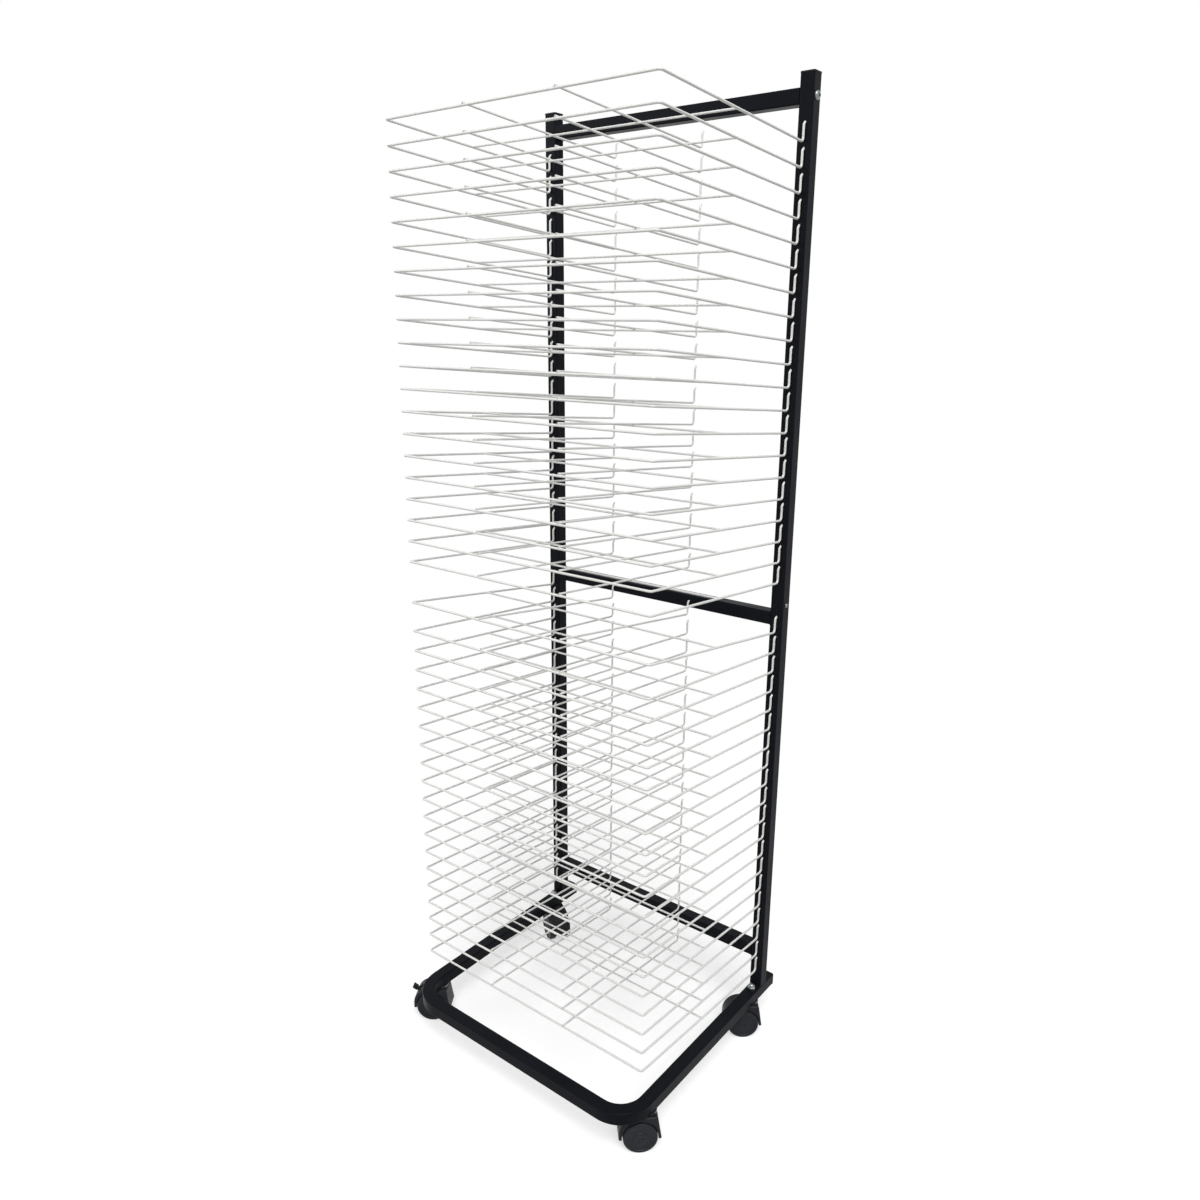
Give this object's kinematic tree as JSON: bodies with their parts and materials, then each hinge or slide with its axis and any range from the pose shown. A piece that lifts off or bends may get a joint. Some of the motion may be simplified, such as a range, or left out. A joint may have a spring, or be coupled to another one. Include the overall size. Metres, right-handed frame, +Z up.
{
  "type": "art drying rack",
  "caption": "Mobile drying rack for artwork: wire shelves that lift on hooks in two square posts, on a U-shaped base with swivel casters.",
  "frame": {"origin": "bottom centre of the outline: the floor, under the middle of the parked rack", "axes": "+Z up, -Y towards the front of the shelves, +X to the right seen from the front"},
  "size_m": [0.6146, 0.5055, 1.7745],
  "materials": {
    "black_powder_coat": "black semi-gloss powder coat on steel tube",
    "white_wire_coat": "white powder coat on steel wire",
    "black_plastic": "fine moulded texture, black polyethylene",
    "charcoal_nylon": "moulded charcoal nylon with a satin surface",
    "wheel_nylon": "moulded charcoal nylon wheels on a steel axle",
    "zinc_plate": "bright zinc plated steel"
  },
  "bodies": {
    "frame": {"base_tube": "black_powder_coat", "left_post": "black_powder_coat", "right_post": "black_powder_coat", "top_rail": "black_powder_coat", "middle_rail": "black_powder_coat", "bottom_rail": "black_powder_coat", "end_caps": "black_plastic", "frame_bolts": "zinc_plate", "caster_stems": "zinc_plate", "caster_nuts": "zinc_plate"},
    "shelf_01": {"shelf_01": "white_wire_coat"},
    "shelf_02": {"shelf_02": "white_wire_coat"},
    "shelf_03": {"shelf_03": "white_wire_coat"},
    "shelf_04": {"shelf_04": "white_wire_coat"},
    "shelf_05": {"shelf_05": "white_wire_coat"},
    "shelf_06": {"shelf_06": "white_wire_coat"},
    "shelf_07": {"shelf_07": "white_wire_coat"},
    "shelf_08": {"shelf_08": "white_wire_coat"},
    "shelf_09": {"shelf_09": "white_wire_coat"},
    "shelf_10": {"shelf_10": "white_wire_coat"},
    "shelf_11": {"shelf_11": "white_wire_coat"},
    "shelf_12": {"shelf_12": "white_wire_coat"},
    "shelf_13": {"shelf_13": "white_wire_coat"},
    "shelf_14": {"shelf_14": "white_wire_coat"},
    "shelf_15": {"shelf_15": "white_wire_coat"},
    "shelf_16": {"shelf_16": "white_wire_coat"},
    "shelf_17": {"shelf_17": "white_wire_coat"},
    "shelf_18": {"shelf_18": "white_wire_coat"},
    "shelf_19": {"shelf_19": "white_wire_coat"},
    "shelf_20": {"shelf_20": "white_wire_coat"},
    "shelf_21": {"shelf_21": "white_wire_coat"},
    "shelf_22": {"shelf_22": "white_wire_coat"},
    "shelf_23": {"shelf_23": "white_wire_coat"},
    "shelf_24": {"shelf_24": "white_wire_coat"},
    "shelf_25": {"shelf_25": "white_wire_coat"},
    "shelf_26": {"shelf_26": "white_wire_coat"},
    "shelf_27": {"shelf_27": "white_wire_coat"},
    "shelf_28": {"shelf_28": "white_wire_coat"},
    "shelf_29": {"shelf_29": "white_wire_coat"},
    "shelf_30": {"shelf_30": "white_wire_coat"},
    "shelf_31": {"shelf_31": "white_wire_coat"},
    "shelf_32": {"shelf_32": "white_wire_coat"},
    "shelf_33": {"shelf_33": "white_wire_coat"},
    "shelf_34": {"shelf_34": "white_wire_coat"},
    "shelf_35": {"shelf_35": "white_wire_coat"},
    "shelf_36": {"shelf_36": "white_wire_coat"},
    "shelf_37": {"shelf_37": "white_wire_coat"},
    "shelf_38": {"shelf_38": "white_wire_coat"},
    "shelf_39": {"shelf_39": "white_wire_coat"},
    "shelf_40": {"shelf_40": "white_wire_coat"},
    "front_left_swivel": {"front_left_caster_hood": "charcoal_nylon"},
    "front_left_wheels": {"front_left_caster_wheels": "wheel_nylon"},
    "front_left_lever": {"front_left_brake_lever": "black_plastic"},
    "front_right_swivel": {"front_right_caster_hood": "charcoal_nylon"},
    "front_right_wheels": {"front_right_caster_wheels": "wheel_nylon"},
    "front_right_lever": {"front_right_brake_lever": "black_plastic"},
    "rear_left_swivel": {"rear_left_caster_hood": "charcoal_nylon"},
    "rear_left_wheels": {"rear_left_caster_wheels": "wheel_nylon"},
    "rear_right_swivel": {"rear_right_caster_hood": "charcoal_nylon"},
    "rear_right_wheels": {"rear_right_caster_wheels": "wheel_nylon"}
  },
  "joints": [
    {"name": "shelf_01_lift", "type": "hinge", "parent": "frame", "child": "shelf_01", "pos_m": [0.014, 0.19775, 1.7005], "axis": [-1, 0, 0], "range_deg": [0, 70]},
    {"name": "shelf_02_lift", "type": "hinge", "parent": "frame", "child": "shelf_02", "pos_m": [0.014, 0.19775, 1.6625], "axis": [-1, 0, 0], "range_deg": [0, 70]},
    {"name": "shelf_03_lift", "type": "hinge", "parent": "frame", "child": "shelf_03", "pos_m": [0.014, 0.19775, 1.6245], "axis": [-1, 0, 0], "range_deg": [0, 70]},
    {"name": "shelf_04_lift", "type": "hinge", "parent": "frame", "child": "shelf_04", "pos_m": [0.014, 0.19775, 1.5865], "axis": [-1, 0, 0], "range_deg": [0, 70]},
    {"name": "shelf_05_lift", "type": "hinge", "parent": "frame", "child": "shelf_05", "pos_m": [0.014, 0.19775, 1.5485], "axis": [-1, 0, 0], "range_deg": [0, 70]},
    {"name": "shelf_06_lift", "type": "hinge", "parent": "frame", "child": "shelf_06", "pos_m": [0.014, 0.19775, 1.5105], "axis": [-1, 0, 0], "range_deg": [0, 70]},
    {"name": "shelf_07_lift", "type": "hinge", "parent": "frame", "child": "shelf_07", "pos_m": [0.014, 0.19775, 1.4725], "axis": [-1, 0, 0], "range_deg": [0, 70]},
    {"name": "shelf_08_lift", "type": "hinge", "parent": "frame", "child": "shelf_08", "pos_m": [0.014, 0.19775, 1.4345], "axis": [-1, 0, 0], "range_deg": [0, 70]},
    {"name": "shelf_09_lift", "type": "hinge", "parent": "frame", "child": "shelf_09", "pos_m": [0.014, 0.19775, 1.3965], "axis": [-1, 0, 0], "range_deg": [0, 70]},
    {"name": "shelf_10_lift", "type": "hinge", "parent": "frame", "child": "shelf_10", "pos_m": [0.014, 0.19775, 1.3585], "axis": [-1, 0, 0], "range_deg": [0, 70]},
    {"name": "shelf_11_lift", "type": "hinge", "parent": "frame", "child": "shelf_11", "pos_m": [0.014, 0.19775, 1.3205], "axis": [-1, 0, 0], "range_deg": [0, 70]},
    {"name": "shelf_12_lift", "type": "hinge", "parent": "frame", "child": "shelf_12", "pos_m": [0.014, 0.19775, 1.2825], "axis": [-1, 0, 0], "range_deg": [0, 70]},
    {"name": "shelf_13_lift", "type": "hinge", "parent": "frame", "child": "shelf_13", "pos_m": [0.014, 0.19775, 1.2445], "axis": [-1, 0, 0], "range_deg": [0, 70]},
    {"name": "shelf_14_lift", "type": "hinge", "parent": "frame", "child": "shelf_14", "pos_m": [0.014, 0.19775, 1.2065], "axis": [-1, 0, 0], "range_deg": [0, 70]},
    {"name": "shelf_15_lift", "type": "hinge", "parent": "frame", "child": "shelf_15", "pos_m": [0.014, 0.19775, 1.1685], "axis": [-1, 0, 0], "range_deg": [0, 70]},
    {"name": "shelf_16_lift", "type": "hinge", "parent": "frame", "child": "shelf_16", "pos_m": [0.014, 0.19775, 1.1305], "axis": [-1, 0, 0], "range_deg": [0, 70]},
    {"name": "shelf_17_lift", "type": "hinge", "parent": "frame", "child": "shelf_17", "pos_m": [0.014, 0.19775, 1.0925], "axis": [-1, 0, 0], "range_deg": [0, 70]},
    {"name": "shelf_18_lift", "type": "hinge", "parent": "frame", "child": "shelf_18", "pos_m": [0.014, 0.19775, 1.0545], "axis": [-1, 0, 0], "range_deg": [0, 70]},
    {"name": "shelf_19_lift", "type": "hinge", "parent": "frame", "child": "shelf_19", "pos_m": [0.014, 0.19775, 1.0165], "axis": [-1, 0, 0], "range_deg": [0, 70]},
    {"name": "shelf_20_lift", "type": "hinge", "parent": "frame", "child": "shelf_20", "pos_m": [0.014, 0.19775, 0.9785], "axis": [-1, 0, 0], "range_deg": [0, 70]},
    {"name": "shelf_21_lift", "type": "hinge", "parent": "frame", "child": "shelf_21", "pos_m": [0.014, 0.19775, 0.8855], "axis": [-1, 0, 0], "range_deg": [0, 67.6]},
    {"name": "shelf_22_lift", "type": "hinge", "parent": "frame", "child": "shelf_22", "pos_m": [0.014, 0.19775, 0.8475], "axis": [-1, 0, 0], "range_deg": [0, 70]},
    {"name": "shelf_23_lift", "type": "hinge", "parent": "frame", "child": "shelf_23", "pos_m": [0.014, 0.19775, 0.8095], "axis": [-1, 0, 0], "range_deg": [0, 70]},
    {"name": "shelf_24_lift", "type": "hinge", "parent": "frame", "child": "shelf_24", "pos_m": [0.014, 0.19775, 0.7715], "axis": [-1, 0, 0], "range_deg": [0, 70]},
    {"name": "shelf_25_lift", "type": "hinge", "parent": "frame", "child": "shelf_25", "pos_m": [0.014, 0.19775, 0.7335], "axis": [-1, 0, 0], "range_deg": [0, 70]},
    {"name": "shelf_26_lift", "type": "hinge", "parent": "frame", "child": "shelf_26", "pos_m": [0.014, 0.19775, 0.6955], "axis": [-1, 0, 0], "range_deg": [0, 70]},
    {"name": "shelf_27_lift", "type": "hinge", "parent": "frame", "child": "shelf_27", "pos_m": [0.014, 0.19775, 0.6575], "axis": [-1, 0, 0], "range_deg": [0, 70]},
    {"name": "shelf_28_lift", "type": "hinge", "parent": "frame", "child": "shelf_28", "pos_m": [0.014, 0.19775, 0.6195], "axis": [-1, 0, 0], "range_deg": [0, 70]},
    {"name": "shelf_29_lift", "type": "hinge", "parent": "frame", "child": "shelf_29", "pos_m": [0.014, 0.19775, 0.5815], "axis": [-1, 0, 0], "range_deg": [0, 70]},
    {"name": "shelf_30_lift", "type": "hinge", "parent": "frame", "child": "shelf_30", "pos_m": [0.014, 0.19775, 0.5435], "axis": [-1, 0, 0], "range_deg": [0, 70]},
    {"name": "shelf_31_lift", "type": "hinge", "parent": "frame", "child": "shelf_31", "pos_m": [0.014, 0.19775, 0.5055], "axis": [-1, 0, 0], "range_deg": [0, 70]},
    {"name": "shelf_32_lift", "type": "hinge", "parent": "frame", "child": "shelf_32", "pos_m": [0.014, 0.19775, 0.4675], "axis": [-1, 0, 0], "range_deg": [0, 70]},
    {"name": "shelf_33_lift", "type": "hinge", "parent": "frame", "child": "shelf_33", "pos_m": [0.014, 0.19775, 0.4295], "axis": [-1, 0, 0], "range_deg": [0, 70]},
    {"name": "shelf_34_lift", "type": "hinge", "parent": "frame", "child": "shelf_34", "pos_m": [0.014, 0.19775, 0.3915], "axis": [-1, 0, 0], "range_deg": [0, 70]},
    {"name": "shelf_35_lift", "type": "hinge", "parent": "frame", "child": "shelf_35", "pos_m": [0.014, 0.19775, 0.3535], "axis": [-1, 0, 0], "range_deg": [0, 70]},
    {"name": "shelf_36_lift", "type": "hinge", "parent": "frame", "child": "shelf_36", "pos_m": [0.014, 0.19775, 0.3155], "axis": [-1, 0, 0], "range_deg": [0, 70]},
    {"name": "shelf_37_lift", "type": "hinge", "parent": "frame", "child": "shelf_37", "pos_m": [0.014, 0.19775, 0.2775], "axis": [-1, 0, 0], "range_deg": [0, 70]},
    {"name": "shelf_38_lift", "type": "hinge", "parent": "frame", "child": "shelf_38", "pos_m": [0.014, 0.19775, 0.2395], "axis": [-1, 0, 0], "range_deg": [0, 70]},
    {"name": "shelf_39_lift", "type": "hinge", "parent": "frame", "child": "shelf_39", "pos_m": [0.014, 0.19775, 0.2015], "axis": [-1, 0, 0], "range_deg": [0, 70]},
    {"name": "shelf_40_lift", "type": "hinge", "parent": "frame", "child": "shelf_40", "pos_m": [0.014, 0.19775, 0.1635], "axis": [-1, 0, 0], "range_deg": [0, 70]},
    {"name": "front_left_caster_swivel", "type": "hinge", "parent": "frame", "child": "front_left_swivel", "pos_m": [-0.251, -0.175, 0.064], "axis": [0, 0, 1], "continuous": true},
    {"name": "front_left_wheels_roll", "type": "hinge", "parent": "front_left_swivel", "child": "front_left_wheels", "pos_m": [-0.26509, -0.18451, 0.031], "axis": [0.5592, -0.829, 0], "continuous": true},
    {"name": "front_left_brake", "type": "hinge", "parent": "front_left_swivel", "child": "front_left_lever", "pos_m": [-0.28665, -0.19904, 0.054], "axis": [0.5592, -0.829, 0], "range_deg": [0, 25]},
    {"name": "front_right_caster_swivel", "type": "hinge", "parent": "frame", "child": "front_right_swivel", "pos_m": [0.279, -0.175, 0.064], "axis": [0, 0, 1], "continuous": true},
    {"name": "front_right_wheels_roll", "type": "hinge", "parent": "front_right_swivel", "child": "front_right_wheels", "pos_m": [0.26657, -0.18659, 0.031], "axis": [0.682, -0.7314, 0], "continuous": true},
    {"name": "front_right_brake", "type": "hinge", "parent": "front_right_swivel", "child": "front_right_lever", "pos_m": [0.24755, -0.20433, 0.054], "axis": [0.682, -0.7314, 0], "range_deg": [0, 25]},
    {"name": "rear_left_caster_swivel", "type": "hinge", "parent": "frame", "child": "rear_left_swivel", "pos_m": [-0.251, 0.183, 0.064], "axis": [0, 0, 1], "continuous": true},
    {"name": "rear_left_wheels_roll", "type": "hinge", "parent": "rear_left_swivel", "child": "rear_left_wheels", "pos_m": [-0.23628, 0.1745, 0.031], "axis": [0.5, 0.866, 0], "continuous": true},
    {"name": "rear_right_caster_swivel", "type": "hinge", "parent": "frame", "child": "rear_right_swivel", "pos_m": [0.279, 0.183, 0.064], "axis": [0, 0, 1], "continuous": true},
    {"name": "rear_right_wheels_roll", "type": "hinge", "parent": "rear_right_swivel", "child": "rear_right_wheels", "pos_m": [0.2656, 0.17253, 0.031], "axis": [0.6157, -0.788, 0], "continuous": true}
  ],
  "couplings": [
    {"joint": "shelf_02_lift", "follows": "shelf_01_lift", "ratio": 1},
    {"joint": "shelf_03_lift", "follows": "shelf_01_lift", "ratio": 1},
    {"joint": "shelf_04_lift", "follows": "shelf_01_lift", "ratio": 1},
    {"joint": "shelf_05_lift", "follows": "shelf_01_lift", "ratio": 1},
    {"joint": "shelf_06_lift", "follows": "shelf_01_lift", "ratio": 1},
    {"joint": "shelf_07_lift", "follows": "shelf_01_lift", "ratio": 1},
    {"joint": "shelf_08_lift", "follows": "shelf_01_lift", "ratio": 1},
    {"joint": "shelf_09_lift", "follows": "shelf_01_lift", "ratio": 1},
    {"joint": "shelf_10_lift", "follows": "shelf_01_lift", "ratio": 1},
    {"joint": "shelf_11_lift", "follows": "shelf_01_lift", "ratio": 1},
    {"joint": "shelf_12_lift", "follows": "shelf_01_lift", "ratio": 1},
    {"joint": "shelf_13_lift", "follows": "shelf_01_lift", "ratio": 1},
    {"joint": "shelf_14_lift", "follows": "shelf_01_lift", "ratio": 1},
    {"joint": "shelf_15_lift", "follows": "shelf_01_lift", "ratio": 1},
    {"joint": "shelf_16_lift", "follows": "shelf_01_lift", "ratio": 1},
    {"joint": "shelf_17_lift", "follows": "shelf_01_lift", "ratio": 1},
    {"joint": "shelf_18_lift", "follows": "shelf_01_lift", "ratio": 1},
    {"joint": "shelf_19_lift", "follows": "shelf_01_lift", "ratio": 1},
    {"joint": "shelf_20_lift", "follows": "shelf_01_lift", "ratio": 1},
    {"joint": "shelf_21_lift", "follows": "shelf_01_lift", "ratio": 0.96571},
    {"joint": "shelf_22_lift", "follows": "shelf_01_lift", "ratio": 1},
    {"joint": "shelf_23_lift", "follows": "shelf_01_lift", "ratio": 1},
    {"joint": "shelf_24_lift", "follows": "shelf_01_lift", "ratio": 1},
    {"joint": "shelf_25_lift", "follows": "shelf_01_lift", "ratio": 1},
    {"joint": "shelf_26_lift", "follows": "shelf_01_lift", "ratio": 1},
    {"joint": "shelf_27_lift", "follows": "shelf_01_lift", "ratio": 1},
    {"joint": "shelf_28_lift", "follows": "shelf_01_lift", "ratio": 1},
    {"joint": "shelf_29_lift", "follows": "shelf_01_lift", "ratio": 1},
    {"joint": "shelf_30_lift", "follows": "shelf_01_lift", "ratio": 1},
    {"joint": "shelf_31_lift", "follows": "shelf_01_lift", "ratio": 1},
    {"joint": "shelf_32_lift", "follows": "shelf_01_lift", "ratio": 1},
    {"joint": "shelf_33_lift", "follows": "shelf_01_lift", "ratio": 1},
    {"joint": "shelf_34_lift", "follows": "shelf_01_lift", "ratio": 1},
    {"joint": "shelf_35_lift", "follows": "shelf_01_lift", "ratio": 1},
    {"joint": "shelf_36_lift", "follows": "shelf_01_lift", "ratio": 1},
    {"joint": "shelf_37_lift", "follows": "shelf_01_lift", "ratio": 1},
    {"joint": "shelf_38_lift", "follows": "shelf_01_lift", "ratio": 1},
    {"joint": "shelf_39_lift", "follows": "shelf_01_lift", "ratio": 1},
    {"joint": "shelf_40_lift", "follows": "shelf_01_lift", "ratio": 1}
  ]
}
